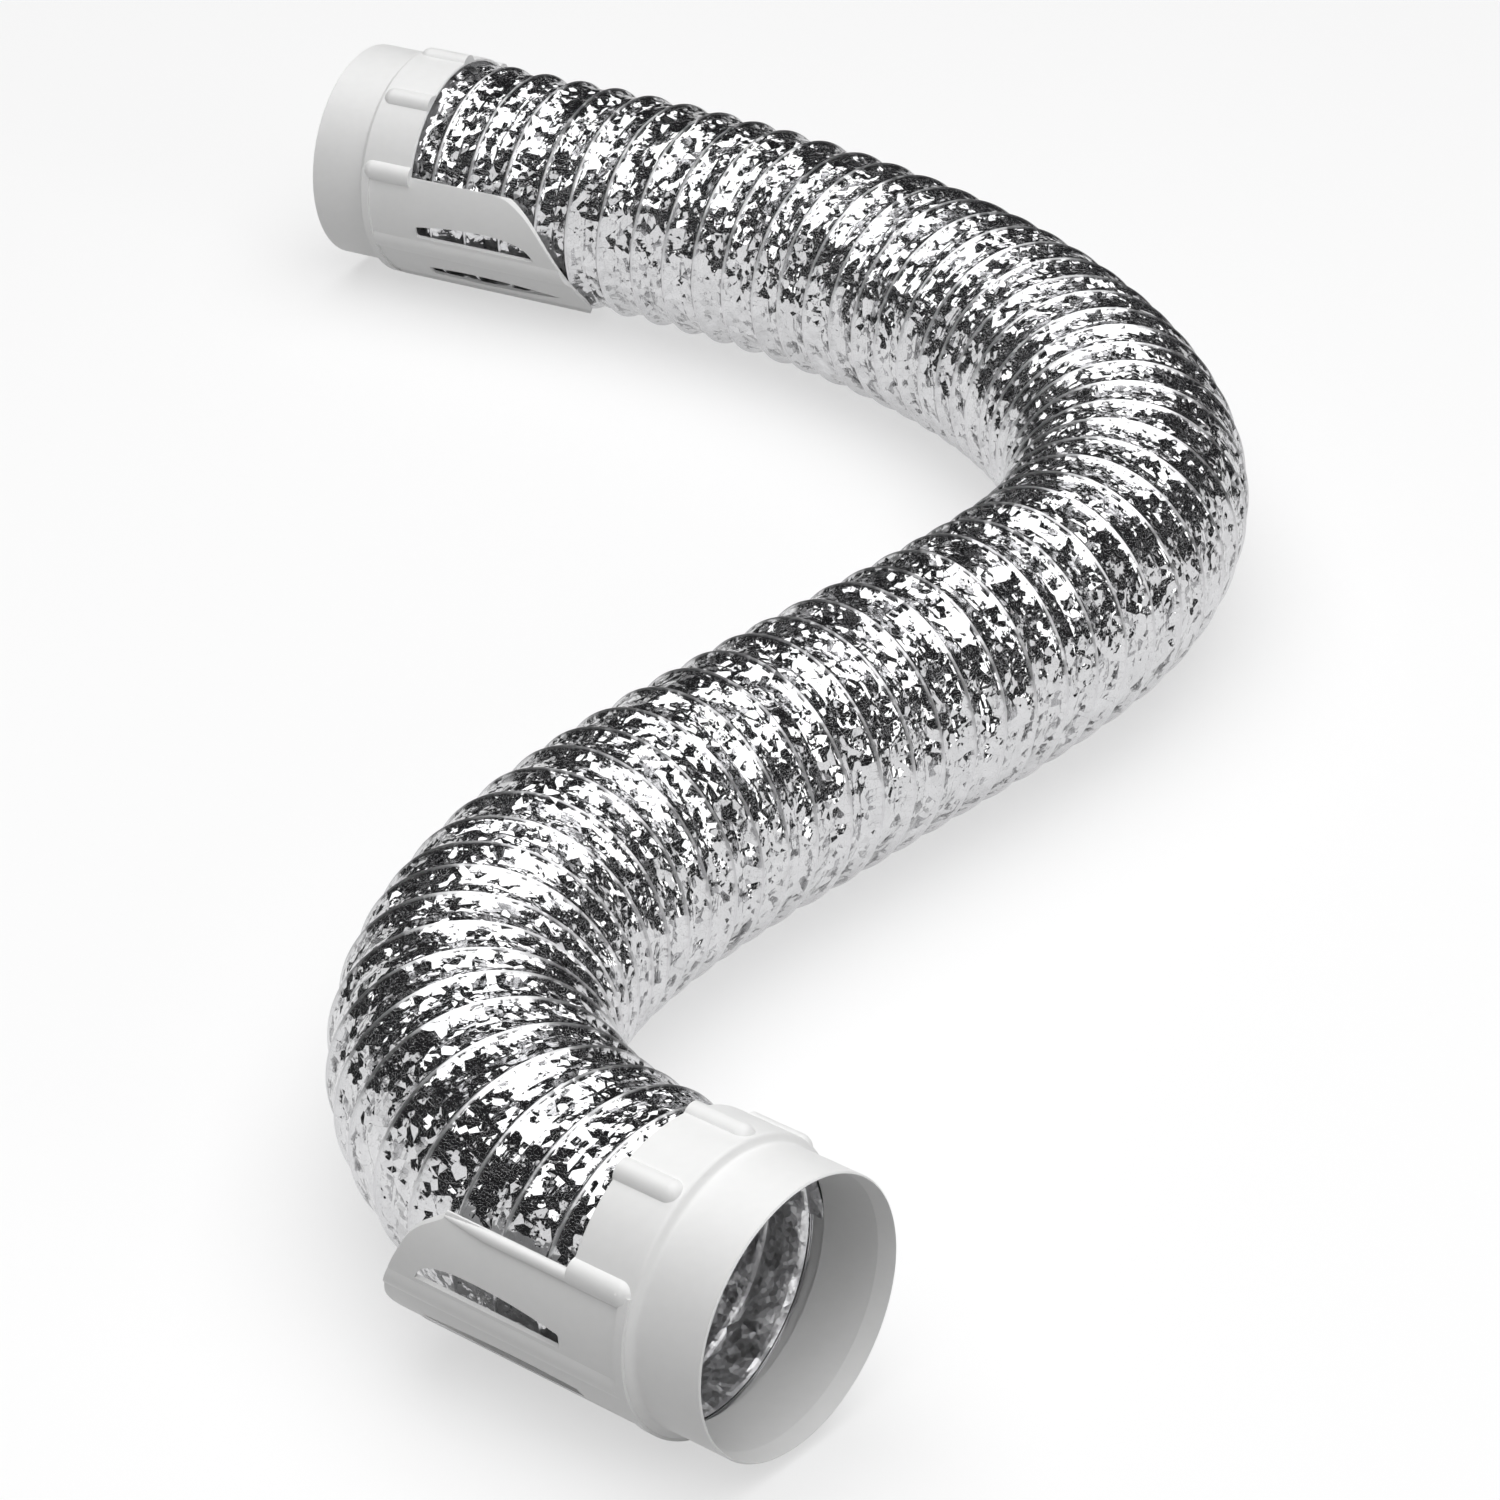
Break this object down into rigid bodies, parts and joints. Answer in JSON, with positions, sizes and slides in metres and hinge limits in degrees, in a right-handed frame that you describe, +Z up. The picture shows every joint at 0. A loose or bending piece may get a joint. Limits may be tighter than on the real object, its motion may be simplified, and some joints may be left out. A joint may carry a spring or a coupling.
{
  "type": "flexible air duct",
  "caption": "Flexible foil air duct lying in a Z shape, a foil and wire hose with a push-on plastic pipe connector and hose cradle at each end.",
  "frame": {"origin": "on the surface the duct lies on, below the middle of the whole duct", "axes": "+Z up from that surface, +Y from the near connector towards the far one along the longest extent, +X to the right"},
  "size_m": [0.4419, 1.1164, 0.1168],
  "materials": {
    "white_plastic": "fine matte moulded, off-white",
    "outer_foil": "bright crinkled foil laminate",
    "inner_foil": "grey back of the crinkled foil laminate",
    "spring_wire": "drawn spring wire"
  },
  "bodies": {
    "mid_span": {"outer_foil_near_bend": "outer_foil", "spring_wire_near_bend": "spring_wire", "inner_foil_near_bend": "inner_foil", "outer_foil_mid": "outer_foil", "spring_wire_mid": "spring_wire", "inner_foil_mid": "inner_foil", "outer_foil_far_bend": "outer_foil", "spring_wire_far_bend": "spring_wire", "inner_foil_far_bend": "inner_foil"},
    "near_end": {"near_connector": "white_plastic", "outer_foil_near": "outer_foil", "spring_wire_near": "spring_wire", "inner_foil_near": "inner_foil"},
    "far_end": {"far_connector": "white_plastic", "outer_foil_far": "outer_foil", "spring_wire_far": "spring_wire", "inner_foil_far": "inner_foil"}
  },
  "joints": [
    {"name": "near_bend", "type": "hinge", "parent": "mid_span", "child": "near_end", "pos_m": [-0.104, -0.349, 0.055], "axis": [0, 0, 1], "range_deg": [-75, 30], "deforming": ["outer_foil_near_bend", "spring_wire_near_bend", "inner_foil_near_bend"]},
    {"name": "far_bend", "type": "hinge", "parent": "mid_span", "child": "far_end", "pos_m": [0.161, 0.175, 0.055], "axis": [0, 0, 1], "range_deg": [-85, 25], "deforming": ["outer_foil_far_bend", "spring_wire_far_bend", "inner_foil_far_bend"]}
  ]
}
